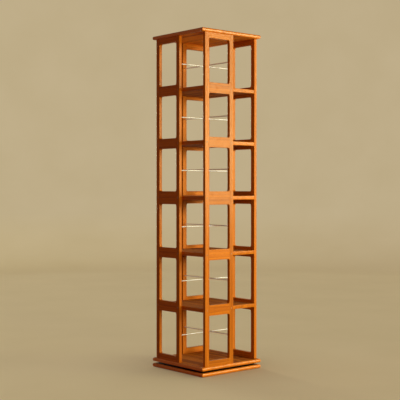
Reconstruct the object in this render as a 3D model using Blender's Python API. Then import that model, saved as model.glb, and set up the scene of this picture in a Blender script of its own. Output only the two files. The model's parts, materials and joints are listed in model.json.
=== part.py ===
"""Revolving bookcase: six open tiers inside a pinwheel of four ladder frames, turning on a swivel base.

Metres, +Z up. The origin is on the floor under the middle of the base board, and Z is the axis it turns on.
The front faces -Y. The front frame is drawn once and repeated by quarter turns about Z.
"""

import math

import bmesh
import bpy

# Driving dimensions.
BOARD_SIDE = 0.420               # the square top, bottom and base boards
BOARD_THICKNESS = 0.020
BOARD_EDGE_RADIUS = 0.008        # round on the upper and the lower edges of a board
SWIVEL_GAP = 0.010               # open space between the base board and the bottom board
FRAME_SETBACK = 0.007            # from the boards' edges in to the frames' outer faces
FRAME_THICKNESS = 0.018
STILE_WIDTH = 0.027
STILE_EDGE_RADIUS = 0.0015       # eased long edges on the free side of a stile
LOWER_WINDOW_HEIGHT = 0.235      # windows of the three lower tiers
UPPER_WINDOW_HEIGHT = 0.230      # windows of the three upper tiers
WINDOW_CORNER_RADIUS = 0.008
BOTTOM_RAIL_HEIGHT = 0.030
SHELF_RAIL_HEIGHT = 0.055
MIDDLE_RAIL_HEIGHT = 0.070
TOP_RAIL_HEIGHT = 0.030
TENON_LENGTH = 0.012
TENON_THICKNESS = 0.007
TENON_SHOULDER = 0.006           # from a rail's upper and lower edges to its tenon
SHELF_THICKNESS = 0.020
SHELF_EDGE_RADIUS = 0.002
ROD_DIAMETER = 0.006
ROD_SEAT_WALL = 0.008            # wood left behind the end of a rod in its stile
RACE_RADIUS = 0.105              # circle that the swivel's balls run on
SWIVEL_RING_WIDTH = 0.036
SWIVEL_RING_THICKNESS = 0.0028
RACE_DEPTH = 0.001
CAGE_WIDTH = 0.009
CAGE_THICKNESS = 0.0016
BALL_COUNT = 14
FIT = 0.0003                     # clearance between pieces that touch

# Fineness of the round forms.
BOARD_EDGE_STEPS = 5
SMALL_EDGE_STEPS = 2
CORNER_STEPS = 4
ROD_SIDES = 16
RING_STEPS = 48
RACE_STEPS = 4

# Heights of the rails and windows, from the bottom board up.
WINDOW_HEIGHTS = [LOWER_WINDOW_HEIGHT] * 3 + [UPPER_WINDOW_HEIGHT] * 3
RAIL_HEIGHTS = [
    BOTTOM_RAIL_HEIGHT,
    SHELF_RAIL_HEIGHT,
    SHELF_RAIL_HEIGHT,
    MIDDLE_RAIL_HEIGHT,
    SHELF_RAIL_HEIGHT,
    SHELF_RAIL_HEIGHT,
    TOP_RAIL_HEIGHT,
]
TIERS = len(WINDOW_HEIGHTS)

# Places that follow from the driving dimensions.
BASE_TOP = BOARD_THICKNESS
TOWER_BOTTOM = BASE_TOP + SWIVEL_GAP
FRAME_BOTTOM = TOWER_BOTTOM + BOARD_THICKNESS
FRAME_HEIGHT = sum(WINDOW_HEIGHTS) + sum(RAIL_HEIGHTS)
FRAME_TOP = FRAME_BOTTOM + FRAME_HEIGHT
INNER_HALF = BOARD_SIDE / 2 - FRAME_SETBACK - FRAME_THICKNESS
SHELF_SIDE = 2 * (INNER_HALF - FIT)
FRAME_MIDDLE_DEPTH = -INNER_HALF - FRAME_THICKNESS / 2
CORNER_STILE_X = -INNER_HALF + STILE_WIDTH / 2
MIDDLE_STILE_X = 0.0             # on the centre line, so that rods between opposite frames cross on the axis
RAIL_X = (CORNER_STILE_X + MIDDLE_STILE_X) / 2
RAIL_LENGTH = MIDDLE_STILE_X - CORNER_STILE_X - STILE_WIDTH - 2 * FIT
ROD_SEAT_DEPTH = FRAME_THICKNESS - ROD_SEAT_WALL
ROD_LENGTH = 2 * (INNER_HALF + ROD_SEAT_DEPTH - FIT)
ROD_RISE = (ROD_DIAMETER + FIT) / 2
SWIVEL_MIDDLE = BASE_TOP + SWIVEL_GAP / 2
BALL_RADIUS = SWIVEL_GAP / 2 - 2 * FIT - (SWIVEL_RING_THICKNESS - RACE_DEPTH)


def stack_of_rails():
    """Lower and upper edge of each rail, from the bottom one up, above the floor and clear of the boards."""
    edges = []
    level = FRAME_BOTTOM
    for height, window in zip(RAIL_HEIGHTS, WINDOW_HEIGHTS + [0.0]):
        edges.append((max(level, FRAME_BOTTOM + FIT), min(level + height, FRAME_TOP - FIT)))
        level += height + window
    return edges


RAIL_EDGES = stack_of_rails()
SHELF_LEVELS = [(low + high) / 2 for low, high in RAIL_EDGES[1:-1]]
WINDOW_MIDDLES = [(below[1] + above[0]) / 2 for below, above in zip(RAIL_EDGES, RAIL_EDGES[1:])]


def clear_scene():
    for item in list(bpy.data.objects):
        bpy.data.objects.remove(item, do_unlink=True)


def finish(name, colour, roughness, metallic):
    """A plain surface finish."""
    material = bpy.data.materials.new(name)
    material.use_nodes = True
    shader = material.node_tree.nodes["Principled BSDF"]
    shader.inputs["Base Color"].default_value = (*colour, 1.0)
    shader.inputs["Roughness"].default_value = roughness
    shader.inputs["Metallic"].default_value = metallic
    return material


def axis_empty(name, parent=None, quarter_turns=0):
    """An empty on the turning axis, for the pieces that it carries."""
    empty = bpy.data.objects.new(name, None)
    empty.parent = parent
    empty.rotation_euler.z = quarter_turns * math.pi / 2
    bpy.context.scene.collection.objects.link(empty)
    return empty


def piece(name, mesh, material, parent, place=(0.0, 0.0, 0.0), quarter_turns=0):
    """One piece of the bookcase, as an object of its own."""
    if not mesh.materials:
        mesh.materials.append(material)
    item = bpy.data.objects.new(name, mesh)
    item.parent = parent
    item.location = place
    item.rotation_euler.z = quarter_turns * math.pi / 2
    bpy.context.scene.collection.objects.link(item)
    return item


def mesh_from(bm, name):
    bmesh.ops.recalc_face_normals(bm, faces=bm.faces)
    mesh = bpy.data.meshes.new(name)
    bm.to_mesh(mesh)
    bm.free()
    return mesh


def add_box(bm, low, high):
    """Add a closed box between two corners, and return its points."""
    points = bmesh.ops.create_cube(bm, size=1.0)["verts"]
    for point in points:
        point.co = [a + (b - a) * (c + 0.5) for a, b, c in zip(low, high, point.co)]
    return points


def add_cylinder(bm, start, end, radius):
    """Add a closed round bar along Y between two points."""
    points = bmesh.ops.create_cone(
        bm,
        cap_ends=True,
        segments=ROD_SIDES,
        radius1=radius,
        radius2=radius,
        depth=end[1] - start[1],
    )["verts"]
    for point in points:
        x, y, z = point.co
        point.co = (start[0] + x, (start[1] + end[1]) / 2 + z, start[2] - y)


def boolean(mesh, bm, operation):
    """The mesh joined with, or cut by, the closed bodies in bm."""
    body = bpy.data.objects.new("body", mesh)
    tool = bpy.data.objects.new("tool", mesh_from(bm, "tool"))
    for item in (body, tool):
        bpy.context.scene.collection.objects.link(item)
    step = body.modifiers.new("step", "BOOLEAN")
    step.operation = operation
    step.solver = "EXACT"
    step.object = tool
    graph = bpy.context.evaluated_depsgraph_get()
    result = bpy.data.meshes.new_from_object(body.evaluated_get(graph))
    result.name = mesh.name
    for item in (body, tool):
        bpy.data.objects.remove(item, do_unlink=True)
    return result


def arc(centre, radius, start, end, steps):
    """Points on a circle, from one angle to another, in degrees."""
    angles = [math.radians(start + (end - start) * i / steps) for i in range(steps + 1)]
    return [(centre[0] + radius * math.cos(a), centre[1] + radius * math.sin(a)) for a in angles]


def rounded_board(name, side, thickness, radius, steps):
    """A square board on its own middle, with its upper and lower edges rounded and its corners mitred."""
    bm = bmesh.new()
    half = (side / 2, side / 2, thickness / 2)
    add_box(bm, [-h for h in half], half)
    edges = [e for e in bm.edges if abs(e.verts[0].co.z - e.verts[1].co.z) < thickness / 2]
    bmesh.ops.bevel(
        bm,
        geom=edges,
        offset=min(radius, 0.49 * thickness),
        segments=steps,
        profile=0.5,
        affect="EDGES",
    )
    return mesh_from(bm, name)


def stile(name, window_side, rod_levels):
    """An upright on its own middle, with its foot at the frame's foot.

    window_side is +1 or -1, the side along X that its rails come in on. That side has a mortise for each rail, and
    the inner face has a blind bore for the end of each rod. The two edges of the other side are eased.
    """
    half_width = STILE_WIDTH / 2
    half_depth = FRAME_THICKNESS / 2
    free = -window_side * half_width
    bm = bmesh.new()
    add_box(bm, (-half_width, -half_depth, FIT), (half_width, half_depth, FRAME_HEIGHT - FIT))
    edges = [
        e for e in bm.edges
        if abs(e.verts[0].co.z - e.verts[1].co.z) > FRAME_HEIGHT / 2 and abs(e.verts[0].co.x - free) < FIT
    ]
    bmesh.ops.bevel(
        bm,
        geom=edges,
        offset=STILE_EDGE_RADIUS,
        segments=SMALL_EDGE_STEPS,
        profile=0.5,
        affect="EDGES",
    )
    body = mesh_from(bm, name)

    cuts = bmesh.new()
    mouth = window_side * (half_width + TENON_LENGTH)
    floor = window_side * (half_width - TENON_LENGTH - FIT)
    mortise_half = TENON_THICKNESS / 2 + FIT
    for low, high in RAIL_EDGES:
        add_box(
            cuts,
            (min(mouth, floor), -mortise_half, low + TENON_SHOULDER - FIT - FRAME_BOTTOM),
            (max(mouth, floor), mortise_half, high - TENON_SHOULDER + FIT - FRAME_BOTTOM),
        )
    for level in rod_levels:
        add_cylinder(
            cuts,
            (0.0, half_depth - ROD_SEAT_DEPTH, level - FRAME_BOTTOM),
            (0.0, half_depth + ROD_SEAT_DEPTH, level - FRAME_BOTTOM),
            ROD_DIAMETER / 2 + FIT,
        )
    return boolean(body, cuts, "DIFFERENCE")


def rail(name, height, window_below, window_above):
    """A rail on its own middle, flaring at its ends into the rounded window corners, with a tenon at each end."""
    right = RAIL_LENGTH / 2
    top = height / 2
    r = WINDOW_CORNER_RADIUS
    outline = []
    if window_below:
        outline += arc((-right + r, -top - r), r, 180, 90, CORNER_STEPS)
        outline += arc((right - r, -top - r), r, 90, 0, CORNER_STEPS)
    else:
        outline += [(-right, -top), (right, -top)]
    if window_above:
        outline += arc((right - r, top + r), r, 0, -90, CORNER_STEPS)
        outline += arc((-right + r, top + r), r, -90, -180, CORNER_STEPS)
    else:
        outline += [(right, top), (-right, top)]

    bm = bmesh.new()
    face = bm.faces.new([bm.verts.new((x, -FRAME_THICKNESS / 2, z)) for x, z in outline])
    swept = bmesh.ops.extrude_face_region(bm, geom=[face])["geom"]
    moved = [item for item in swept if isinstance(item, bmesh.types.BMVert)]
    bmesh.ops.translate(bm, verts=moved, vec=(0.0, FRAME_THICKNESS, 0.0))
    body = mesh_from(bm, name)

    tenons = bmesh.new()
    tenon_top = top - TENON_SHOULDER
    for end in (-right, right):
        add_box(
            tenons,
            (end - TENON_LENGTH, -TENON_THICKNESS / 2, -tenon_top),
            (end + TENON_LENGTH, TENON_THICKNESS / 2, tenon_top),
        )
    return boolean(body, tenons, "UNION")


def turned(bm, profile):
    """Add a closed profile of radius and height, turned once round Z."""
    points = [bm.verts.new((r, 0.0, z)) for r, z in profile]
    edges = [bm.edges.new((a, b)) for a, b in zip(points, points[1:] + points[:1])]
    bmesh.ops.spin(
        bm,
        geom=points + edges,
        cent=(0.0, 0.0, 0.0),
        axis=(0.0, 0.0, 1.0),
        angle=2 * math.pi,
        steps=RING_STEPS,
        use_merge=True,
    )


def swivel_ring(name, up):
    """A flat ring with a race for the balls, on the middle of the swivel; up is +1 for the ring above the balls."""
    inner = RACE_RADIUS - SWIVEL_RING_WIDTH / 2
    outer = RACE_RADIUS + SWIVEL_RING_WIDTH / 2
    back = SWIVEL_GAP / 2 - FIT
    face = back - SWIVEL_RING_THICKNESS
    race = BALL_RADIUS + FIT
    spread = math.degrees(math.acos(face / race))
    groove = arc((RACE_RADIUS, 0.0), race, 90 + spread, 90 - spread, RACE_STEPS)
    profile = [(inner, back), (inner, face)] + groove + [(outer, face), (outer, back)]
    bm = bmesh.new()
    turned(bm, [(r, up * z) for r, z in profile])
    return mesh_from(bm, name)


def ball_cage(name):
    """The ring that spaces the balls, with the balls held in it."""
    inner = RACE_RADIUS - CAGE_WIDTH / 2
    outer = RACE_RADIUS + CAGE_WIDTH / 2
    half = CAGE_THICKNESS / 2
    bm = bmesh.new()
    turned(bm, [(inner, -half), (outer, -half), (outer, half), (inner, half)])
    ring = mesh_from(bm, name)

    balls = bmesh.new()
    for i in range(BALL_COUNT):
        angle = 2 * math.pi * (i + 0.5) / BALL_COUNT
        ball = bmesh.ops.create_icosphere(balls, subdivisions=2, radius=BALL_RADIUS)["verts"]
        middle = (RACE_RADIUS * math.cos(angle), RACE_RADIUS * math.sin(angle), 0.0)
        bmesh.ops.translate(balls, verts=ball, vec=middle)
    return boolean(ring, balls, "UNION")


def cross_rod(name):
    """A round rod on its own middle, along Y."""
    bm = bmesh.new()
    add_cylinder(bm, (0.0, -ROD_LENGTH / 2, 0.0), (0.0, ROD_LENGTH / 2, 0.0), ROD_DIAMETER / 2)
    return mesh_from(bm, name)


def build_base(teak, steel, brass):
    base = rounded_board("base_board", BOARD_SIDE, BOARD_THICKNESS, BOARD_EDGE_RADIUS, BOARD_EDGE_STEPS)
    piece("base_board", base, teak, None, (0.0, 0.0, BOARD_THICKNESS / 2))
    piece("swivel_lower_ring", swivel_ring("lower_ring", -1), steel, None, (0.0, 0.0, SWIVEL_MIDDLE))
    cage_axis = axis_empty("cage_axis")
    piece("swivel_ball_cage", ball_cage("ball_cage"), brass, cage_axis, (0.0, 0.0, SWIVEL_MIDDLE))


def build_boards_and_shelves(tower, teak, steel):
    piece("swivel_upper_ring", swivel_ring("upper_ring", 1), steel, tower, (0.0, 0.0, SWIVEL_MIDDLE))
    board = rounded_board("board", BOARD_SIDE, BOARD_THICKNESS, BOARD_EDGE_RADIUS, BOARD_EDGE_STEPS)
    piece("bottom_board", board, teak, tower, (0.0, 0.0, TOWER_BOTTOM + BOARD_THICKNESS / 2))
    piece("top_board", board, teak, tower, (0.0, 0.0, FRAME_TOP + BOARD_THICKNESS / 2))
    shelf = rounded_board("shelf", SHELF_SIDE, SHELF_THICKNESS, SHELF_EDGE_RADIUS, SMALL_EDGE_STEPS)
    for number, level in enumerate(SHELF_LEVELS, 1):
        piece(f"shelf_{number}", shelf, teak, tower, (0.0, 0.0, level))


def build_frames(tower, teak):
    corner = stile("corner_stile", 1, [])
    upper_bored = stile("middle_stile_upper", -1, [z + ROD_RISE for z in WINDOW_MIDDLES])
    lower_bored = stile("middle_stile_lower", -1, [z - ROD_RISE for z in WINDOW_MIDDLES])
    rails = [
        rail(f"rail_{number}", high - low, number > 1, number <= TIERS)
        for number, (low, high) in enumerate(RAIL_EDGES, 1)
    ]
    for turns, side in enumerate(("front", "right", "back", "left")):
        frame = axis_empty(f"{side}_frame", tower, turns)
        middle = lower_bored if side in ("left", "right") else upper_bored
        foot = FRAME_BOTTOM
        piece(f"{side}_corner_stile", corner, teak, frame, (CORNER_STILE_X, FRAME_MIDDLE_DEPTH, foot))
        piece(f"{side}_middle_stile", middle, teak, frame, (MIDDLE_STILE_X, FRAME_MIDDLE_DEPTH, foot))
        for number, (low, high) in enumerate(RAIL_EDGES, 1):
            place = (RAIL_X, FRAME_MIDDLE_DEPTH, (low + high) / 2)
            piece(f"{side}_rail_{number}", rails[number - 1], teak, frame, place)


def build_rods(tower, steel):
    rod = cross_rod("cross_rod")
    for number, level in enumerate(WINDOW_MIDDLES, 1):
        piece(f"cross_rod_lower_{number}", rod, steel, tower, (0.0, 0.0, level - ROD_RISE), 1)
        piece(f"cross_rod_upper_{number}", rod, steel, tower, (0.0, 0.0, level + ROD_RISE))


def main():
    clear_scene()
    board_teak = finish("teak_board", (0.50, 0.19, 0.045), 0.42, 0.0)
    frame_teak = finish("teak_frame", (0.56, 0.23, 0.055), 0.42, 0.0)
    rod_steel = finish("rod_steel", (0.78, 0.76, 0.74), 0.22, 1.0)
    swivel_steel = finish("swivel_steel", (0.42, 0.42, 0.43), 0.38, 1.0)
    cage_brass = finish("cage_brass", (0.62, 0.47, 0.22), 0.35, 1.0)
    tower = axis_empty("tower_axis")
    build_base(board_teak, swivel_steel, cage_brass)
    build_boards_and_shelves(tower, board_teak, swivel_steel)
    build_frames(tower, frame_teak)
    build_rods(tower, rod_steel)


main()
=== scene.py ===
# %% [markdown]
# # A revolving bookcase in teak
# The packed frame holds every solid of the bookcase at its real size: three square boards, five
# shelves, four ladder frames, twelve rods and a ball swivel. This lesson lays finer skins over
# those solids, mixes wood and metal finishes from short formulas, and lights the tower like a
# plain studio picture. A skin could be drawn by hand, but here each one measures the solid that
# it covers, so nothing has to be fitted by eye.

# %% Load the frame
import json
import math

import bpy
import numpy as np
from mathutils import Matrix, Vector

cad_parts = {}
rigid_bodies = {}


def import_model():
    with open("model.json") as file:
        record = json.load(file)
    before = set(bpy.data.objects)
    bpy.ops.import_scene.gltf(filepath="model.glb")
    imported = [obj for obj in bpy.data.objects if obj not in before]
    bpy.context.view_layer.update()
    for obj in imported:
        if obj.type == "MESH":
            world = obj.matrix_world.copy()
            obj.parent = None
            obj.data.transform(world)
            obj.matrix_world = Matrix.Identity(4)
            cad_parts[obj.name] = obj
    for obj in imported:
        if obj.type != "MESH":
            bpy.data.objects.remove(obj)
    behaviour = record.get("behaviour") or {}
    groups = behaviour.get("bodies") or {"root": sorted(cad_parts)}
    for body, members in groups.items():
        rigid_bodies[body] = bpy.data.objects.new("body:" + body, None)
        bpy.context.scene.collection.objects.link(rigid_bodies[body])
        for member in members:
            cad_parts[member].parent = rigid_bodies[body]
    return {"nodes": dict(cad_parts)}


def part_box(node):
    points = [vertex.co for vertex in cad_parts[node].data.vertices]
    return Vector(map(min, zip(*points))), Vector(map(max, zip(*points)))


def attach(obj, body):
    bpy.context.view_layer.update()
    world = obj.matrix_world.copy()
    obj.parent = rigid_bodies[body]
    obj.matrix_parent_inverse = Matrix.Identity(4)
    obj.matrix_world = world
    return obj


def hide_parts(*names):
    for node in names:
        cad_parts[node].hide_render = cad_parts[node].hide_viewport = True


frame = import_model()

scene = bpy.context.scene
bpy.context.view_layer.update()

# %% [markdown]
# ## The camera
# The picture looks at one corner of the tower from a little above half its height. Upright edges
# stay upright in it to a fraction of a pixel, so the camera is all but level. A third of a degree
# of tilt and a lens shift of a few pixels put the tower where it stands in the frame. A larger
# shift alone would do the same, but it would push the tower off centre in every other view. A
# long lens well back keeps the far corner almost as large as the near one.

# %% Camera
PICTURE = 400  # pixels on each side of the picture
FOCAL_PIXELS = 947.26  # the lens length, counted in pixels of the picture
AXIS_ROW = 194.0  # the picture row that the lens looks straight at
SENSOR_WIDTH = 36.0  # millimetres
VIEW_TURN = math.radians(-40.653)  # from straight in front, towards the left corner
VIEW_TILT = math.radians(0.3365)  # downwards
VIEW_DISTANCE = 5.1902  # metres from the tower's axis
VIEW_ASIDE = -0.0352  # metres to the right
VIEW_HEIGHT = 0.9802

lens = bpy.data.cameras.new("picture_camera")
lens.sensor_width = SENSOR_WIDTH
lens.lens = FOCAL_PIXELS / PICTURE * SENSOR_WIDTH
lens.shift_y = (AXIS_ROW - PICTURE / 2) / PICTURE
camera = bpy.data.objects.new("picture_camera", lens)
ahead = Vector((-math.sin(VIEW_TURN), math.cos(VIEW_TURN), 0.0))
aside = Vector((math.cos(VIEW_TURN), math.sin(VIEW_TURN), 0.0))
camera.location = VIEW_ASIDE * aside - VIEW_DISTANCE * ahead + Vector((0.0, 0.0, VIEW_HEIGHT))
camera.rotation_euler = (math.pi / 2 - VIEW_TILT, 0.0, VIEW_TURN)
scene.collection.objects.link(camera)
scene.camera = camera
scene.view_settings.view_transform = "Standard"
print("camera at", [round(c, 3) for c in camera.location], "with a lens of", round(lens.lens, 1), "mm")

# %% [markdown]
# ## Skins from rings
# A board, a stile, a rail, a rod and a plug have one thing in common: each is a closed outline
# that travels along a path and changes a little on the way. A modeller might bevel cubes instead.
# Stacking outlines as rings of points gives the same softened edges, and every point knows where
# it lies on the piece, which the wood finish needs. One function joins any stack of rings into a
# closed skin, and another turns a profile into such a stack.

# %% A closed skin
SHARP_ANGLE = math.radians(35.0)  # faces that meet at more than this keep a sharp edge


def volume(rings):
    """The volume inside one closed stack of rings, negative where its faces look inwards.

    Every face and the shell's middle span a pyramid, and a triangle (a, b, c) seen from the
    middle holds a sixth of a . (b x c). The sides are split into two triangles each, and the two
    end faces into fans.
    """
    rings = rings - rings.mean((0, 1))
    a, b = rings[:-1], np.roll(rings[:-1], -1, 1)
    d, c = rings[1:], np.roll(rings[1:], -1, 1)
    first, last = [ring[0] * np.cross(ring, np.roll(ring, -1, 0)) for ring in (rings[0], rings[-1])]
    sides = (a * np.cross(b, c)).sum() + (a * np.cross(c, d)).sum()
    return (sides + last.sum() - first.sum()) / 6.0


def skin(name, rings, close=(True, True)):
    """A mesh object through stacked rings, an array of shape (shells, rings, points, 3).

    Point j of ring i is joined to point j + 1 of the same ring and to the same two points of ring
    i + 1 by one four-sided face. The first and last ring of each shell are closed by one flat face
    each where close says so. Shells whose volume comes out negative are inside out, so all their
    faces are turned round.
    """
    rings = np.asarray(rings, float)
    rings = rings.reshape((-1,) + rings.shape[-3:])
    shells, levels, around = rings.shape[:3]
    index = np.arange(shells * levels * around).reshape(shells, levels, around)
    here = index[:, :-1]
    above = index[:, 1:]
    sides = np.stack([here, np.roll(here, -1, 2), np.roll(above, -1, 2), above], -1)
    faces = sides.reshape(-1, 4).tolist()
    faces += index[:, 0, ::-1].tolist() * close[0]
    faces += index[:, -1].tolist() * close[1]
    mesh = bpy.data.meshes.new(name)
    mesh.from_pydata(rings.reshape(-1, 3).tolist(), [], faces)
    if volume(rings[0]) < 0.0:
        mesh.flip_normals()
    mesh.shade_smooth()
    mesh.set_sharp_from_angle(angle=SHARP_ANGLE)
    made = bpy.data.objects.new(name, mesh)
    scene.collection.objects.link(made)
    return made


print("faces that meet at up to", round(math.degrees(SHARP_ANGLE)), "degrees are shaded as one curve")


# %% Turned rings
def turned(profile, steps):
    """A profile of (radius, height) points turned about the upright axis.

    The ring of a point lies at radius * (cos a, sin a) for steps angles a of a full turn, at the
    point's height.
    """
    radius, height = np.asarray(profile, float).T
    angle = np.linspace(0.0, 2.0 * np.pi, steps, endpoint=False)
    x = radius[:, None] * np.cos(angle)
    y = radius[:, None] * np.sin(angle)
    z = np.broadcast_to(height[:, None], x.shape)
    return np.stack([x, y, z], -1)


tube = turned([(0.5, 0.0), (0.5, 1.0)], 64)
print("a tube of radius 0.5 and height 1 holds", round(volume(tube), 3), "cubic metres")

# %% [markdown]
# ## Finishes as formulas
# A finish is a chain of shader nodes. It can be wired by hand in the node editor, but a formula
# is easier to read and to change. The small class below wraps one node socket and gives it plus,
# minus, times and the other signs, so that an expression on sockets adds its own Math nodes.
# Everything else comes from one method that adds any node.

# %% Wires
class Wire:
    """One output socket of a finish. Arithmetic on wires adds Math nodes to the same finish."""

    def __init__(self, finish, socket):
        self.finish = finish
        self.socket = socket

    def maths(self, operation, first, second):
        """One Math node on two values, either of which may be a wire or a number."""
        return self.finish.node("ShaderNodeMath", {"operation": operation}, {0: first, 1: second})

    def __add__(self, other):
        return self.maths("ADD", self, other)

    def __radd__(self, other):
        return self.maths("ADD", other, self)

    def __sub__(self, other):
        return self.maths("SUBTRACT", self, other)

    def __rsub__(self, other):
        return self.maths("SUBTRACT", other, self)

    def __mul__(self, other):
        return self.maths("MULTIPLY", self, other)

    def __rmul__(self, other):
        return self.maths("MULTIPLY", other, self)

    def __truediv__(self, other):
        return self.maths("DIVIDE", self, other)

    def __rtruediv__(self, other):
        return self.maths("DIVIDE", other, self)

    def __mod__(self, other):
        return self.maths("FLOORED_MODULO", self, other)

    def __rmod__(self, other):
        return self.maths("FLOORED_MODULO", other, self)


print("signs that a wire knows from both sides:", len([n for n in vars(Wire) if n.startswith("__r")]))


# %% Finishes
class Finish:
    """A material whose shader sockets are set to numbers or fed by wires."""

    def __init__(self, name):
        self.material = bpy.data.materials.new(name)
        self.material.use_nodes = True
        self.tree = self.material.node_tree
        self.shader = self.tree.nodes["Principled BSDF"]

    def node(self, kind, settings, sockets, output=0):
        """Add a node of any kind: its settings first, then a value or a wire for each socket.

        The setting "stops" fills a colour ramp with (place, colour) pairs. Returns the wire of
        one output.
        """
        made = self.tree.nodes.new(kind)
        for name, value in settings.items():
            if name == "stops":
                self.fill_ramp(made.color_ramp, value)
            else:
                setattr(made, name, value)
        for name, value in sockets.items():
            self.feed(made.inputs[name], value)
        return Wire(self, made.outputs[output])

    def fill_ramp(self, ramp, stops):
        """Put the stops on a ramp; a plain number stands for a grey level."""
        while len(ramp.elements) < len(stops):
            ramp.elements.new(1.0)
        for element, (place, colour) in zip(ramp.elements, stops):
            element.position = place
            element.color = colour if isinstance(colour, tuple) else (colour, colour, colour, 1.0)

    def feed(self, socket, value):
        """Link a wire to a socket, or set the socket to a plain value."""
        if isinstance(value, Wire):
            self.tree.links.new(value.socket, socket)
        else:
            socket.default_value = value

    def set(self, **sockets):
        """Set or feed sockets of the shader; Base_Color stands for Base Color."""
        for name, value in sockets.items():
            self.feed(self.shader.inputs[name.replace("_", " ")], value)

    def attribute(self, name, output="Fac"):
        """What a piece stores on its points under a name."""
        return self.node("ShaderNodeAttribute", {"attribute_name": name}, {}, output)

    def blend(self, share, first, second):
        """A colour that goes from first to second as share goes from 0 to 1."""
        return self.node("ShaderNodeMix", {"data_type": "RGBA"}, {0: share, 6: first, 7: second}, 2)

    def scaled(self, colour, share):
        """A colour or vector with each of its three parts multiplied by share."""
        return self.node("ShaderNodeVectorMath", {"operation": "SCALE"}, {0: colour, "Scale": share})

    def stretched(self, place, factors):
        """A place whose three coordinates are multiplied by three factors."""
        return self.node("ShaderNodeVectorMath", {"operation": "MULTIPLY"}, {0: place, 1: factors})

    def noise(self, place, clouds, detail=2.0, output=0):
        """Cloudy noise with clouds[k] clouds a metre along each direction k."""
        sockets = {"Vector": self.stretched(place, clouds), "Scale": 1.0, "Detail": detail}
        return self.node("ShaderNodeTexNoise", {}, sockets, output)

    def ramp(self, value, *stops):
        """value sent through a ramp of (place, grey level or colour) stops."""
        return self.node("ShaderNodeValToRGB", {"stops": stops}, {"Fac": value})

    def bumped(self, height, distance, strength):
        """A surface normal that leans as if the surface rose by height * distance metres."""
        sockets = {"Height": height, "Distance": distance, "Strength": strength}
        self.set(Normal=self.node("ShaderNodeBump", {}, sockets))


print("finishes are written with", len([n for n in vars(Finish) if not n.startswith("__")]), "methods")

# %% [markdown]
# ## The studio
# The tower stands on plain pale paper that sweeps up into the backdrop without a line. A flat
# floor and a wall would meet in a visible edge, so we turn one profile, a floor, a quarter circle
# and a wall, into a wide bowl. It is open at the top and the same from every side, so each view
# of the tower has the same quiet background. The lamps stand outside, so the bowl casts no shadow
# and lets their light in.

# %% Paper bowl
BOWL_FLOOR = 5.8  # radius of the flat floor
BOWL_SWEEP = 2.6  # radius of the curve between floor and wall
BOWL_HEIGHT = 9.0
BOWL_STEPS = 25  # points along the curve
BOWL_SIDES = 96  # points around the bowl

sweep = np.linspace(0.0, np.pi / 2, BOWL_STEPS)
flat_radius = np.array([0.02, 1.0, 2.5])  # of the rings on the floor
curve_radius = BOWL_FLOOR + BOWL_SWEEP * np.sin(sweep)
curve_height = BOWL_SWEEP * (1.0 - np.cos(sweep))
bowl_radius = np.concatenate([flat_radius, curve_radius, curve_radius[-1:]])
bowl_height = np.concatenate([0.0 * flat_radius, curve_height, [BOWL_HEIGHT]])
bowl_profile = np.stack([bowl_radius, bowl_height], -1)
bowl = skin("paper_bowl", turned(bowl_profile, BOWL_SIDES), close=(True, False))
bowl.data.flip_normals()  # the bowl is seen from inside
bowl.visible_shadow = False
print("paper bowl:", len(bowl.data.polygons), "faces")

# %% [markdown]
# ## The paper
# The floor shows the lamps' light and the tower's shadow, while the wall mostly glows by itself,
# so that it stays even all round. A glow alone would run on under the tower and leave it hovering,
# so it is dimmed wherever the tower hides part of the sky from the paper. Only the camera and
# shiny surfaces see the glow. To the wood the paper is a dim surface, because a bright one would
# wash out the shaded side.

# %% Paper finish
PAPER_DARK = (0.57, 0.455, 0.265, 1.0)
PAPER_LIGHT = (0.63, 0.51, 0.315, 1.0)
PAPER_BOUNCE = (0.14, 0.07, 0.02, 1.0)  # what the paper sends back to the tower
MOTTLE_CLOUDS = (1.5, 1.5, 1.5)
FLOOR_GLOW = 0.56  # brightness that the paper adds to the picture by itself, low down
WALL_GLOW = 0.84  # and on the wall
WALL_SPARED = 0.96  # share of the lamps' light that the wall doesn't take
SHELTER_REACH = 0.7  # how far off the tower still dims the glow

paper = Finish("pale_paper")
paper_place = paper.node("ShaderNodeTexCoord", {}, {}, "Object")
paper_mottle = paper.noise(paper_place, MOTTLE_CLOUDS, detail=4.0)
paper_colour = paper.blend(paper_mottle, PAPER_DARK, PAPER_LIGHT)
paper_height = paper.node("ShaderNodeSeparateXYZ", {}, {0: paper_place}, "Z")
rising = paper.ramp(paper_height / BOWL_SWEEP, (0.0, 0.0), (0.06, 0.5), (0.25, 1.0))
paper.set(Base_Color=paper.scaled(paper_colour, 1.0 - WALL_SPARED * rising))
paper.set(Roughness=0.9, Specular_IOR_Level=0.2)
shelter = paper.node("ShaderNodeAmbientOcclusion", {"samples": 8}, {"Distance": SHELTER_REACH}, "AO")
glow = shelter * (FLOOR_GLOW + (WALL_GLOW - FLOOR_GLOW) * rising)
paper.set(Emission_Color=paper.scaled(paper_colour, glow), Emission_Strength=1.0)
direct = paper.node("ShaderNodeLightPath", {}, {}, "Is Camera Ray")
mirrored = paper.node("ShaderNodeLightPath", {}, {}, "Is Glossy Ray")
through = paper.node("ShaderNodeLightPath", {}, {}, "Is Transmission Ray")
dim = paper.node("ShaderNodeBsdfDiffuse", {}, {"Color": PAPER_BOUNCE})
seen = Wire(paper, paper.shader.outputs["BSDF"])
surface = paper.node("ShaderNodeMixShader", {}, {0: direct + mirrored + through, 1: dim, 2: seen})
paper.feed(paper.tree.nodes["Material Output"].inputs["Surface"], surface)
bowl.data.materials.append(paper.material)
print("paper finish:", len(paper.tree.nodes), "nodes")

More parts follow.
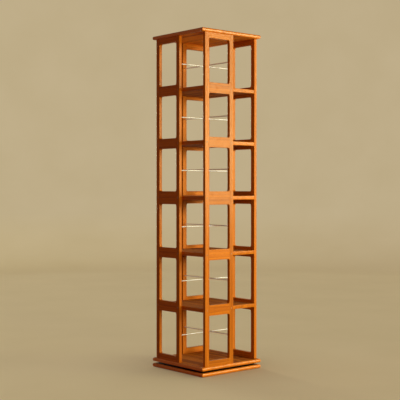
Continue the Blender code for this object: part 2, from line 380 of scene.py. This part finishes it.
# %% [markdown]
# ## Far lamps
# The light comes low and broad from the right: the faces that look right glow, and those that
# look left fall into shade, as in the picture. One lamp would leave a black step wherever a shelf
# stands in its way, so several share the work. Far lamps light everything alike, and in Blender a
# far lamp is a sun whose disc is made wide, so that its shadows are soft. One stands to the right
# and leaves its sheen on the oiled wood. A golden one stands almost straight in front of the lit
# side and reaches the edges that the shelves hide from the first. A weak warm one from the left
# and a faint even sky keep the shaded side readable, and one from behind does the same for the
# back.

# %% Far lamps
LAMP_WHITE = (1.0, 1.0, 0.54)
LAMP_GOLD = (1.0, 0.90, 0.25)
LAMP_AMBER = (1.0, 0.36, 0.04)
LAMP_PALE = (1.0, 0.95, 0.62)
SKY_COLOUR = (1.0, 0.80, 0.60, 1.0)
SKY_STRENGTH = 0.005


def far_lamp(name, azimuth, elevation, spread, strength, colour):
    """A sun lamp at an azimuth counted from straight in front, and an elevation.

    Its disc is spread degrees wide, and strength is in watts on each square metre that faces it.
    """
    turn, lift = math.radians(azimuth), math.radians(elevation)
    level = math.cos(lift)
    towards = Vector((math.sin(turn) * level, -math.cos(turn) * level, math.sin(lift)))
    data = bpy.data.lights.new(name, "SUN")
    data.angle = math.radians(spread)
    data.energy = strength
    data.color = colour
    lamp = bpy.data.objects.new(name, data)
    lamp.rotation_euler = towards.to_track_quat("Z", "Y").to_euler()
    scene.collection.objects.link(lamp)
    return lamp


far_lamps = (
    far_lamp("key_lamp", azimuth=39.0, elevation=6.8, spread=13.5, strength=1.35, colour=LAMP_WHITE),
    far_lamp("front_lamp", azimuth=-7.0, elevation=5.0, spread=10.0, strength=0.65, colour=LAMP_GOLD),
    far_lamp("fill_lamp", azimuth=-85.0, elevation=4.5, spread=80.0, strength=0.74, colour=LAMP_AMBER),
    far_lamp("back_lamp", azimuth=170.0, elevation=3.0, spread=14.0, strength=2.2, colour=LAMP_PALE),
)
sky = bpy.data.worlds.new("studio_sky")
sky.use_nodes = True
sky_light = sky.node_tree.nodes["Background"]
sky_light.inputs["Color"].default_value = SKY_COLOUR
sky_light.inputs["Strength"].default_value = SKY_STRENGTH
scene.world = sky
print("far lamps:", [round(lamp.data.energy, 2) for lamp in far_lamps], "watts on each square metre")

# %% [markdown]
# ## Softboxes
# Two softboxes near the tower do what far lamps cannot: they shine up under the top board and
# leave the lowest tier dim inside. They would also make bright pools on the paper, so later they
# are linked to the pieces of the tower alone, and they are hidden from the camera, because a view
# from behind would look straight into them.

# %% Softboxes
def near_softbox(name, azimuth, distance, height, width, tall, power, colour):
    """An upright lamp of width by tall metres that faces the axis from a distance.

    Its middle is at a height over the floor, and power is in watts.
    """
    turn = math.radians(azimuth)
    data = bpy.data.lights.new(name, "AREA")
    data.shape = "RECTANGLE"
    data.size = width
    data.size_y = tall
    data.energy = power
    data.color = colour
    lamp = bpy.data.objects.new(name, data)
    lamp.location = (distance * math.sin(turn), -distance * math.cos(turn), height)
    lamp.rotation_euler = (math.pi / 2, 0.0, turn)
    lamp.visible_camera = False
    scene.collection.objects.link(lamp)
    return lamp


softboxes = (
    near_softbox(
        "right_softbox", azimuth=30.0, distance=2.0, height=1.15,
        width=1.6, tall=0.8, power=25.0, colour=LAMP_WHITE,
    ),
    near_softbox(
        "front_softbox", azimuth=-7.0, distance=2.5, height=1.2,
        width=0.5, tall=0.5, power=10.0, colour=LAMP_GOLD,
    ),
)
print("softboxes:", [lamp.data.energy for lamp in softboxes], "watts")

# %% [markdown]
# ## Teak
# The whole tower is oiled teak: golden brown, with darker streaks that run along each piece,
# growth rings a few millimetres apart, and fine open pores like scratches along the grain. A
# photograph of wood would repeat and would stop at the edges. Instead the wood is solid: each
# point knows its place in the plank, along, across and through, and the rings are circles about
# the heart of the tree, cut wherever the surface happens to lie. End grain and matching edges then
# come for free. Oil makes the wood shine, and where it has gone or was spared the wood is dull.

# %% Marks in the wood
TEAK_DARK = (0.350, 0.073, 0.004, 1.0)
TEAK_MIDDLE = (0.560, 0.142, 0.008, 1.0)
TEAK_LIGHT = (0.710, 0.203, 0.013, 1.0)
TEAK_PORE = (0.190, 0.033, 0.002, 1.0)
RING_WIDTH = 0.0062  # between two growth rings
RING_WANDER = 0.016  # how far a ring strays from its circle
RING_STOPS = ((0.0, 0.35), (0.10, 1.0), (0.60, 0.78), (0.90, 0.22), (1.0, 0.35))
RING_SHARE, STREAK_SHARE, FIBRE_SHARE = 0.34, 0.90, 0.26  # what each mark adds to the figure
FIGURE_DROP = 0.28  # and what is taken off their sum
PORE_SHARE = 0.55  # how far a pore turns to its dark colour

# Clouds a metre along, across and through the plank.
BAND_CLOUDS = (0.7, 15.0, 15.0)
STREAK_CLOUDS = (1.1, 46.0, 46.0)
WANDER_CLOUDS = (1.6, 11.0, 11.0)
HANDLING_CLOUDS = (6.0, 20.0, 20.0)
FIBRE_CLOUDS = (14.0, 900.0, 900.0)
PORE_CLOUDS = (45.0, 1700.0, 1700.0)
print("pores lie about", round(1000 / PORE_CLOUDS[1], 1), "mm apart across the grain")

# %% Teak finish
TONE_STEP = 0.10  # a tone of 1 makes the wood paler by this share
WORN_PALE = 0.14  # and so does full wear
BARE_ROUGH = 0.38  # roughness that bare wood adds
PORE_ROUGH = 0.14  # that a pore adds
HANDLED_ROUGH = 0.10  # that varies with handling
WORN_SMOOTH = 0.08  # that wear takes off
PORE_SINK = 1.5  # depth of a pore against the height of a fibre
POLISH_ROUGH = 0.25  # roughness of the polish on softened edges


def teak_finish(name, rough, shine, bands=0.0, polish=0.0):
    """Oiled teak that reads the attributes grain, tone, edge and bare of its piece.

    rough and shine set its gloss, bands the strength of the wide dark bands on the flats of a
    broad board, and polish the weight of a clear coat on its softened edges.

    The ring number is the distance from the heart, bent by slow noise, over the ring width. What
    is left after the whole number is the place within one ring, from pale early wood to dark late
    wood. Rings, streaks and fibres are added up to one figure, which picks the colour.
    """
    wood = Finish(name)
    grain = wood.attribute("grain", "Vector")
    tone, edge, bare = [wood.attribute(mark) for mark in ("tone", "edge", "bare")]
    wander = wood.noise(grain, WANDER_CLOUDS, output="Color")
    section = wood.stretched(grain, (0.0, 1.0, 1.0))
    bend = {0: wander, 1: (0.0, RING_WANDER, RING_WANDER), 2: section}
    bent = wood.node("ShaderNodeVectorMath", {"operation": "MULTIPLY_ADD"}, bend)
    distance = wood.node("ShaderNodeVectorMath", {"operation": "LENGTH"}, {0: bent}, "Value")
    ring = wood.ramp((distance / RING_WIDTH) % 1.0, *RING_STOPS)
    streak = wood.noise(grain, STREAK_CLOUDS, detail=3.0)
    fibre = wood.noise(grain, FIBRE_CLOUDS)
    figure = RING_SHARE * ring + STREAK_SHARE * streak + FIBRE_SHARE * fibre - FIGURE_DROP
    if bands:
        band = wood.ramp(wood.noise(grain, BAND_CLOUDS), (0.38, 0.0), (0.62, 1.0))
        figure = figure + bands * (band - 0.5) * (1.0 - edge)
    colour = wood.ramp(figure, (0.12, TEAK_DARK), (0.45, TEAK_MIDDLE), (0.80, TEAK_LIGHT))
    pore = wood.ramp(wood.noise(grain, PORE_CLOUDS, detail=1.0), (0.60, 0.0), (0.70, 1.0))
    colour = wood.blend(PORE_SHARE * pore, colour, TEAK_PORE)
    handling = wood.noise(grain, HANDLING_CLOUDS, detail=3.0)
    worn = edge * wood.ramp(handling, (0.35, 0.0), (0.65, 1.0))
    wood.set(Base_Color=wood.scaled(colour, 1.0 + TONE_STEP * tone + WORN_PALE * worn))
    dull = rough + BARE_ROUGH * bare - WORN_SMOOTH * worn + PORE_ROUGH * pore
    wood.set(Roughness=dull + HANDLED_ROUGH * (handling - 0.5))
    wood.set(Specular_IOR_Level=shine)
    if polish:
        wood.set(Coat_Weight=polish * edge, Coat_Roughness=POLISH_ROUGH)
    wood.bumped(fibre - PORE_SINK * pore, distance=0.00012, strength=0.5)
    return wood.material


OILED = {"rough": 0.26, "shine": 0.12}
teak = teak_finish("oiled_teak", **OILED)
shelf_teak = teak_finish("banded_shelf_teak", **OILED, bands=0.75)
# the boards' paler edges are painted light in their tone; this finish adds the coat on the edges
board_teak = teak_finish("edge_coated_board_teak", **OILED, bands=0.75, polish=0.45)
print("oiled teak:", [len(wood.node_tree.nodes) for wood in (teak, shelf_teak, board_teak)], "nodes")

# %% [markdown]
# ## Giving a skin its place in the plank
# The wood finish needs to know how each piece was sawn. We store four things on its points: the
# place in the plank measured from the heart of the tree, a tone that differs a little from piece
# to piece, a mask of the softened edges, which hands have polished, and how bare of oil the wood
# is. On the boards and shelves the tone also carries painted light and painted shade. Its random
# part is a chance draw, from a seed that puts the pale and the dark pieces about where the
# picture has them. A piece also has to move with the right body, name its material slot and hide
# the plain solid under it, and one function does all of that.

# %% Timber
PAINTED_SHADE_TONE = -9.3  # the tone of painted shade, near black
HEART_ALONG = 3.0  # most that a piece lies along the heart of its tree, either way
HEART_ASIDE = 0.05  # most that it lies beside the heart, either way
HEART_DEPTH = (0.03, 0.11)  # least and most that it lies above the heart
PLANK_SEED = 11  # for where each plank lay in its tree
TONE_SEED = 41164  # for how pale each plank is
chance = np.random.default_rng(PLANK_SEED)
tone_chance = np.random.default_rng(TONE_SEED)


def write(mesh, name, values):
    """Store one number, or one vector, for every point of a mesh under a name."""
    values = np.ascontiguousarray(values, np.float32)
    kind, field = ("FLOAT_VECTOR", "vector") if values.ndim == 2 else ("FLOAT", "value")
    mesh.attributes.new(name, kind, "POINT").data.foreach_set(field, values.ravel())


def settle(piece, material, body):
    """Give a piece its finish, its body and its material slot."""
    piece.data.materials.append(material)
    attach(piece, body)


def timber(node, rings, grain, edge, bare, body, finish=teak, pale=0.0, shade_rings=()):
    """A teak skin in place of one solid.

    grain holds, for each ring point, its place along, across and through the plank, measured from
    the piece's middle; a random heart of the tree is added to it. edge is 1 on softened edges and
    0 on flats, and bare is 1 where the oil is gone. pale, a number or one for each ring point, is
    added to the random tone as painted light where it is above zero and painted shade where it is
    below. The listed rings, and the end faces inside them, are painted near black as painted shade.
    """
    piece = skin("teak_" + node, rings)
    along = chance.uniform(-HEART_ALONG, HEART_ALONG)
    across = chance.uniform(-HEART_ASIDE, HEART_ASIDE)
    above = chance.uniform(*HEART_DEPTH)
    place = np.asarray(grain, float).reshape(-1, 3)
    write(piece.data, "grain", place - place.mean(0) + np.array([along, across, above]))
    write(piece.data, "edge", np.broadcast_to(edge, rings.shape[:-1]).ravel())
    write(piece.data, "bare", np.broadcast_to(bare, rings.shape[:-1]).ravel())
    # pale adds painted light and painted shade to the random tone
    tone = np.broadcast_to(pale + tone_chance.uniform(-1.0, 1.0), rings.shape[:-1]).copy()
    # painted shade: the listed rings turn near black
    tone[list(shade_rings)] = PAINTED_SHADE_TONE
    write(piece.data, "tone", tone.ravel())
    settle(piece, finish, body)
    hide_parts(node)


print("seeds of the planks and of their tones:", PLANK_SEED, TONE_SEED)

# %% [markdown]
# ## Boards and shelves
# The base, the bottom board and the top board are square, with edges rounded all the way from
# face to face, and the shelves are thinner looking because their edges are only eased. Both are
# the same shape with other numbers: a section that runs from the upper face round the edge to the
# lower face, and a square outline that is moved inwards wherever the section leans in. Stacking
# those outlines gives the board. A cube with a bevel would look alike, but its points would not
# tell the flats from the edges.

# %% Rounded outlines
CORNER_POINTS = 6
CRISP = 0.0003  # the smallest radius, for instance where two pieces meet
GUARD = 0.0006  # flat points beside each curve, which keep the shading of the flats even


def rounded_ring(u_low, u_high, v_low, v_high, radii):
    """Rings round rectangles with rounded corners, anticlockwise.

    A corner is a quarter circle: its centre lies one radius inside both sides, and its points at
    the centre plus radius * (cos a, sin a). One guard point follows the flat on each end of it.
    The sizes are arrays of one value for each ring, and radii has four columns, for the corners
    from (high, high) on. Returns the ring points and a mask that is 1 on the curves.
    """
    sizes = np.broadcast_arrays(u_low, u_high, v_low, v_high)
    u_low, u_high, v_low, v_high = [np.atleast_1d(size).astype(float)[:, None] for size in sizes]
    radii = np.broadcast_to(radii, (len(u_low), 4))
    corners = (
        (u_high, v_high, -1, -1),
        (u_low, v_high, 1, -1),
        (u_low, v_low, 1, 1),
        (u_high, v_low, -1, 1),
    )
    bend = np.linspace(0.0, np.pi / 2, CORNER_POINTS)
    angle = np.concatenate([bend[:1], bend, bend[-1:]])
    slide = np.concatenate([[-GUARD], np.zeros(CORNER_POINTS), [GUARD]])
    parts = []
    for turn, (u, v, inward_u, inward_v) in enumerate(corners):
        radius = radii[:, turn, None]
        a = angle + turn * np.pi / 2
        part_u = u + inward_u * radius + radius * np.cos(a) - slide * np.sin(a)
        part_v = v + inward_v * radius + radius * np.sin(a) + slide * np.cos(a)
        parts.append(np.stack([part_u, part_v], -1))
    return np.concatenate(parts, 1), np.tile((slide == 0.0).astype(float), 4)


print("points round one outline:", rounded_ring(0.0, 1.0, 0.0, 1.0, CRISP)[0].shape[1])

# %% Stacked outlines
EDGE_POINTS = 8  # from a face to the middle of the edge
BOARD_ROUND = 0.008
SHELF_ROUND = 0.002
UPRIGHT_CORNER = 0.0015  # radius of the four corners, seen from above


def board_rings(low, high, radius):
    """Rings of a board between two corners of its box, its upper and lower edge rounded to a radius.

    The section turns through half a circle from the upper to the lower face: at angle a the
    outline moves in by radius * (1 - sin a), and lies radius * (1 - cos a) below or above the face.
    Returns the rings and a mask that is 1 on the edge and 0 on the two faces.
    """
    a = np.linspace(0.0, np.pi / 2, EDGE_POINTS)
    inset = radius * (1.0 - np.sin(a))
    drop = radius * (1.0 - np.cos(a))
    inset = np.concatenate([[radius + GUARD], inset, inset[::-1], [radius + GUARD]])
    height = np.concatenate([[high.z], high.z - drop, low.z + drop[::-1], [low.z]])
    corner = np.maximum(UPRIGHT_CORNER - inset, CRISP)[:, None] * np.ones(4)
    outline, _ = rounded_ring(low.x + inset, high.x - inset, low.y + inset, high.y - inset, corner)
    upright = np.broadcast_to(height[:, None, None], outline.shape[:2] + (1,))
    edge = np.ones(len(inset))
    edge[[0, -1]] = 0.0
    return np.concatenate([outline, upright], -1), edge[:, None]


print("outlines in the top board:", len(board_rings(*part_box("top_board"), BOARD_ROUND)[0]))

# %% [markdown]
# ## The wood of the boards
# The grain of the boards runs from front to back, in wide bands. Books and hands have rubbed the
# oil off the flats. The edges are painted paler as painted light, and on the boards they are
# polished and catch a thin line of light, while the flats of the shelves and the bottom board are
# painted darker as painted shade. The top board is painted pale all over as painted light. The two
# faces that look into the swivel's slot are painted near black as painted shade, so that the slot
# reads as one dark line and the tower seems to float on it. All of this could be painted on by
# hand, but a tone for the flats and one for the edges are enough, because each point knows which
# of them it lies on.

# %% Boards
SHELF_SHADE_AND_LIGHT = (-1.9, 0.3)  # painted shade on the flats and painted light on the edges, against the frames
# for each board, flats then edges: painted shade below zero, painted light above
board_shade_and_light = {"base_board": (0.0, 2.6), "bottom_board": (-1.7, 2.6), "top_board": (3.2, 1.8)}
board_bodies = {"base_board": "base", "bottom_board": "tower", "top_board": "tower"}
slot_shade_rings = {"base_board": [0], "bottom_board": [-1], "top_board": []}  # rings of the faces painted near black as shade
shelf_names = sorted(name for name in frame["nodes"] if name.startswith("shelf_"))


def plank(node, radius, tones, body, finish, shade_rings=()):
    """A board or shelf in place of its solid, bare on its flats, with its grain from front to back."""
    rings, edge = board_rings(*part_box(node), radius)
    flat, edge_light = tones
    # painted shade and light: one tone on the flats, another on the edges
    pale = flat * (1.0 - edge) + edge_light * edge
    timber(node, rings, rings[..., [1, 0, 2]], edge, 1.0 - edge, body, finish, pale, shade_rings)


for board, body in board_bodies.items():
    black = slot_shade_rings[board]
    plank(board, BOARD_ROUND, board_shade_and_light[board], body, board_teak, black)
for shelf in shelf_names:
    plank(shelf, SHELF_ROUND, SHELF_SHADE_AND_LIGHT, "tower", shelf_teak)
print("boards:", len(board_bodies), "shelves:", len(shelf_names))

# %% [markdown]
# ## Ladder frames
# On each side, two upright stiles and seven rails stand in front of the shelf edges. The windows
# between them have small round corners, which a router leaves when it runs round the opening
# after the frame is glued. Cutting round holes from a plank would lose the joints between the
# pieces, so each rail is a loft of its own: its section stays a rounded rectangle, and near both
# ends it grows in height along a quarter circle until it meets the stile. The inner half of a
# frame got less oil than its face, so it is partly bare.

# %% Stile rings
EASED = 0.0015  # radius of the softened edges
WINDOW_FADE = 0.010  # length over which a stile's edge softens beside a window


def stile_rings(low, high, windows, window_left, window_right):
    """Rings of an upright stile, stacked along its height.

    The section is a rectangle with eased corners. On a side that has windows, the corners are
    eased only along each window and fade to crisp towards the rails.
    """
    beside = [(a, a + WINDOW_FADE, b - WINDOW_FADE, b) for a, b in windows]
    stops = np.concatenate([[low.z, low.z + GUARD], *beside, [high.z]])
    eased = np.concatenate([[0.0, 0.0], np.tile([0.0, 1.0, 1.0, 0.0], len(windows)), [0.0]])
    on_window = CRISP + (EASED - CRISP) * eased
    outside = np.full(len(stops), EASED)
    left = on_window if window_left else outside
    right = on_window if window_right else outside
    radii = np.stack([right, left, left, right], -1)
    section, edge = rounded_ring(np.full(len(stops), low.x), high.x, low.y, high.y, radii)
    upright = np.broadcast_to(stops[:, None, None], section.shape[:2] + (1,))
    return np.concatenate([section, upright], -1), edge


print("edges are eased to", round(1000 * EASED, 1), "mm, and crisp ones to", round(1000 * CRISP, 1), "mm")

# %% Rail rings
WINDOW_CORNER = 0.008  # radius of a window's corners
FLARE_POINTS = 10  # along the curve at each end of a rail


def rail_rings(x_low, x_high, y_low, y_high, z_low, z_high, flare_low, flare_high):
    """Rings of a rail, stacked along its length.

    At angle a of the window's corner the section lies WINDOW_CORNER * (1 - cos a) from the stile,
    and its edge WINDOW_CORNER * (1 - sin a) beyond the straight part, where that edge borders a
    window.
    """
    a = np.linspace(0.0, np.pi / 2, FLARE_POINTS)
    reach = WINDOW_CORNER * (1.0 - np.cos(a))
    grown = WINDOW_CORNER * (1.0 - np.sin(a))
    along = np.concatenate([x_low + reach, x_high - reach[::-1]])
    extra = np.concatenate([grown, grown[::-1]])
    soft = CRISP + (EASED - CRISP) * np.concatenate([a, a[::-1]]) / (np.pi / 2)
    crisp = np.full(len(along), CRISP)
    upper = soft if flare_high else crisp
    lower = soft if flare_low else crisp
    radii = np.stack([upper, upper, lower, lower], -1)
    bottom = z_low - extra * flare_low
    top = z_high + extra * flare_high
    section, edge = rounded_ring(np.full(len(along), y_low), y_high, bottom, top, radii)
    lengthwise = np.broadcast_to(along[:, None, None], section.shape[:2] + (1,))
    return np.concatenate([lengthwise, section], -1), edge


print("a rail grows by", round(1000 * WINDOW_CORNER), "mm beside each window, at both ends")

# %% [markdown]
# ## Where rails and windows lie
# The front frame is measured from its solids. A rail's solid includes its curved ends, so the
# straight part of the rail is lower by the corner's radius on every edge that borders a window. The
# windows are what is left between the rails. Their heights could be typed in as numbers, but
# measured ones always agree with the solids.

# %% Rails and windows
RAILS = 7
corner_low, corner_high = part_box("front_corner_stile")
middle_low, middle_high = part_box("front_middle_stile")
half_depth = (corner_low.y + corner_high.y) / 2
flares = [(number > 1, number < RAILS) for number in range(1, RAILS + 1)]  # below and above
rail_spans = []
for number, (flare_low, flare_high) in enumerate(flares, 1):
    low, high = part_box(f"front_rail_{number}")
    rail_spans.append((low.z + WINDOW_CORNER * flare_low, high.z - WINDOW_CORNER * flare_high))
windows = [
    (below[1] + WINDOW_CORNER, above[0] - WINDOW_CORNER)
    for below, above in zip(rail_spans[:-1], rail_spans[1:])
]
window_heights = [round(top - bottom + 2 * WINDOW_CORNER, 3) for bottom, top in windows]
print("window heights in metres:", window_heights)

# %% [markdown]
# ## Four frames
# The frame of the next side is the same frame, turned by a quarter about the upright axis. Copies
# of one object could be rotated, but then all four would show the same grain, so each piece is
# made anew in its own plank. Grain runs up the stiles and along the rails.

# %% Frames on four sides
SIDES = ("front", "right", "back", "left")
JOINT = 0.0003  # hairline between rail and stile
INNER_BARE = 0.5  # how bare the inner half of a frame is
UP_THE_PIECE = [2, 0, 1]  # directions along, across and through the plank
ALONG_THE_PIECE = [0, 2, 1]


def quarter_turned(points, turns):
    """Points turned about the upright axis by whole quarter turns, (x, y) to (-y, x) for each."""
    x, y, z = np.moveaxis(points, -1, 0)
    for _ in range(turns):
        x, y = -y, x
    return np.stack([x, y, z], -1)


def frame_piece(node, rings, edge, directions, turns):
    """A stile or rail of the front frame, turned to its own side, with its grain in directions."""
    bare = INNER_BARE * (rings[..., 1] > half_depth)
    placed = quarter_turned(rings, turns)
    timber(node, placed, rings[..., directions], edge, bare, "tower")


for turns, side in enumerate(SIDES):
    rings, edge = stile_rings(corner_low, corner_high, windows, False, True)
    frame_piece(f"{side}_corner_stile", rings, edge, UP_THE_PIECE, turns)
    rings, edge = stile_rings(middle_low, middle_high, windows, True, False)
    frame_piece(f"{side}_middle_stile", rings, edge, UP_THE_PIECE, turns)
    ends = (corner_high.x + JOINT, middle_low.x - JOINT)
    for number, (span, flare) in enumerate(zip(rail_spans, flares), 1):
        rings, edge = rail_rings(*ends, corner_low.y, corner_high.y, *span, *flare)
        frame_piece(f"{side}_rail_{number}", rings, edge, ALONG_THE_PIECE, turns)
print("ladder frames:", len(SIDES), "with", RAILS, "rails each")

# %% [markdown]
# ## Rods
# Two bright rods cross in each tier and keep the books of one side from pushing through to the
# other. A cylinder from the menu has hard ends, while a real rod is turned and has its ends
# broken, so we stack rings whose radius drops a little at both ends. The steel is polished along
# its length, which leaves very fine lengthwise lines.

# %% Bright steel
STEEL_DULL = (0.80, 0.77, 1.0, 1.0)
STEEL_BRIGHT = (0.88, 0.85, 1.0, 1.0)
STEEL_ROUGH = 0.50
LINE_ROUGH, SMEAR_ROUGH = 0.14, 0.10  # roughness that lines and smears add
LINE_CLOUDS = (12.0, 2400.0, 2400.0)  # a metre along and across the rod
SMEAR_CLOUDS = (30.0, 120.0, 120.0)

steel = Finish("bright_steel")
steel_place = steel.attribute("grain", "Vector")
steel_lines = steel.noise(steel_place, LINE_CLOUDS)
steel_smears = steel.noise(steel_place, SMEAR_CLOUDS, detail=3.0)
steel.set(Base_Color=steel.blend(steel_smears, STEEL_DULL, STEEL_BRIGHT), Metallic=1.0)
steel.set(Roughness=STEEL_ROUGH + LINE_ROUGH * steel_lines + SMEAR_ROUGH * steel_smears)
steel.bumped(steel_lines, distance=0.00004, strength=0.4)
print("bright steel:", len(steel.tree.nodes), "nodes")

# %% Rods
ROD_CHAMFER = 0.0004
ROD_SIDES = 32
rod_names = sorted(name for name in frame["nodes"] if name.startswith("cross_rod_"))

for rod in rod_names:
    low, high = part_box(rod)
    along = 0 if high.x - low.x > high.y - low.y else 1
    length = (high - low)[along]
    radius = (high.z - low.z) / 2
    reach = np.array([0.0, ROD_CHAMFER, ROD_CHAMFER + GUARD])
    thin = np.array([ROD_CHAMFER, 0.0, 0.0])
    stations = np.concatenate([reach, length - reach[::-1]]) - length / 2
    profile = np.stack([radius - np.concatenate([thin, thin[::-1]]), stations], -1)
    upright = turned(profile, ROD_SIDES)
    lying = upright[..., [2, 1, 0]] if along == 0 else upright[..., [0, 2, 1]]
    piece = skin("bright_" + rod, lying + np.array((low + high) / 2))
    write(piece.data, "grain", upright[..., [2, 0, 1]].reshape(-1, 3))
    settle(piece, steel.material, "tower")
    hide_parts(rod)
print("rods:", len(rod_names), "with a radius of", round(1000 * radius, 1), "mm")

# %% [markdown]
# ## Plugs
# Screws hold each frame to the shelf edges, and a small round plug of teak covers every screw
# head. They could be painted on, but from close up a plug is a slightly domed disc in a hairline
# groove, with its own grain. One domed profile is turned once and copied to every place where a
# stile crosses a shelf.

# %% Domed plug
PLUG_RADIUS = 0.0048
PLUG_PROUD = 0.0005  # height of the dome
PLUG_DEPTH = 0.0015  # of the part inside the stile
PLUG_SIDES = 20

dome_share = np.concatenate([[1.0, 1.0, 0.992], np.linspace(0.9, 0.05, 8)])  # of the radius
dome_height = PLUG_PROUD * (1.0 - dome_share ** 4)
dome_height[0] = -PLUG_DEPTH
plug = turned(np.stack([PLUG_RADIUS * dome_share, dome_height], -1), PLUG_SIDES)
facing_out = plug[..., [0, 2, 1]] * np.array([1.0, -1.0, 1.0])
shelf_levels = np.array([(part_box(shelf)[0].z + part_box(shelf)[1].z) / 2 for shelf in shelf_names])
stile_middles = np.array([(corner_low.x + corner_high.x) / 2, (middle_low.x + middle_high.x) / 2])
column, level = [grid.ravel() for grid in np.meshgrid(stile_middles, shelf_levels)]
places = np.stack([column, np.full(len(column), corner_low.y), level], -1)
print("plugs on each side:", len(places), "with", plug[..., 0].size, "points each")

# %% Plugs on four sides
PLUG_TONES = (-3.0, -1.5)  # darkest and palest plug
PLUG_HEART = np.array([0.0, 0.0, 0.06])
polished_teak = teak_finish("polished_plug_teak", rough=0.34, shine=0.5)

for turns, side in enumerate(SIDES):
    shells = places[:, None, None, :] + facing_out
    piece = skin(side + "_plugs", quarter_turned(shells, turns))
    hearts = chance.uniform(-HEART_ASIDE, HEART_ASIDE, (len(places), 1, 1, 3)) + PLUG_HEART
    tones = chance.uniform(*PLUG_TONES, (len(places), 1, 1))
    write(piece.data, "grain", (facing_out[..., [0, 2, 1]] + hearts).reshape(-1, 3))
    write(piece.data, "edge", np.zeros(shells[..., 0].size))
    write(piece.data, "bare", np.zeros(shells[..., 0].size))
    write(piece.data, "tone", np.broadcast_to(tones, shells.shape[:-1]).ravel())
    settle(piece, polished_teak, "tower")
print("plugs:", len(SIDES) * len(places))

# %% [markdown]
# ## The swivel
# Between the base and the bottom board two pressed steel rings run on a ring of balls. Only a
# dark slot shows, but from low down the metal glints in it. New skins could be turned for them,
# but the solids already have the right shape, so they stay, and get zinc for the rings and brass
# for the cage that keeps the balls apart.

# %% Swivel finishes
ZINC_DULL, ZINC_BRIGHT = (0.42, 0.42, 0.43, 1.0), (0.60, 0.60, 0.61, 1.0)
BRASS_DULL, BRASS_BRIGHT = (0.55, 0.38, 0.14, 1.0), (0.78, 0.57, 0.24, 1.0)
TARNISH_CLOUDS = (60.0, 60.0, 60.0)
SCRATCH_CLOUDS = (900.0, 900.0, 900.0)
TARNISH_ROUGH, SCRATCH_ROUGH = 0.18, 0.08  # roughness that tarnish and scratches add


def plated_metal(name, dull, bright, rough):
    """Plated metal: cloudy between a dull and a bright colour, with fine scratches."""
    metal = Finish(name)
    place = metal.node("ShaderNodeTexCoord", {}, {}, "Object")
    cloud = metal.noise(place, TARNISH_CLOUDS, detail=4.0)
    scratch = metal.noise(place, SCRATCH_CLOUDS)
    metal.set(Base_Color=metal.blend(cloud, dull, bright), Metallic=1.0)
    metal.set(Roughness=rough + TARNISH_ROUGH * cloud + SCRATCH_ROUGH * scratch)
    metal.bumped(scratch, distance=0.00003, strength=0.4)
    return metal.material


zinc = plated_metal("zinc_plate", ZINC_DULL, ZINC_BRIGHT, rough=0.30)
brass = plated_metal("rolled_brass", BRASS_DULL, BRASS_BRIGHT, rough=0.28)
swivel = {"swivel_lower_ring": zinc, "swivel_upper_ring": zinc, "swivel_ball_cage": brass}
for node, metal in swivel.items():
    frame["nodes"][node].material_slots[0].material = metal
print("swivel parts with a metal finish:", len(swivel))

# %% [markdown]
# ## Linking the softboxes
# Light linking names the objects that a lamp may light. The pieces could be ticked one by one in
# the object panel, but here every mesh except the paper goes into one collection, and both
# softboxes are told to light only that.

# %% Softboxes for the pieces alone
lit = bpy.data.collections.new("lit_by_softboxes")
for item in scene.objects:
    if item.type == "MESH" and item is not bowl:
        lit.objects.link(item)
for lamp in softboxes:
    lamp.light_linking.receiver_collection = lit

# %% [markdown]
# The skins must not make the tower larger than its solids.
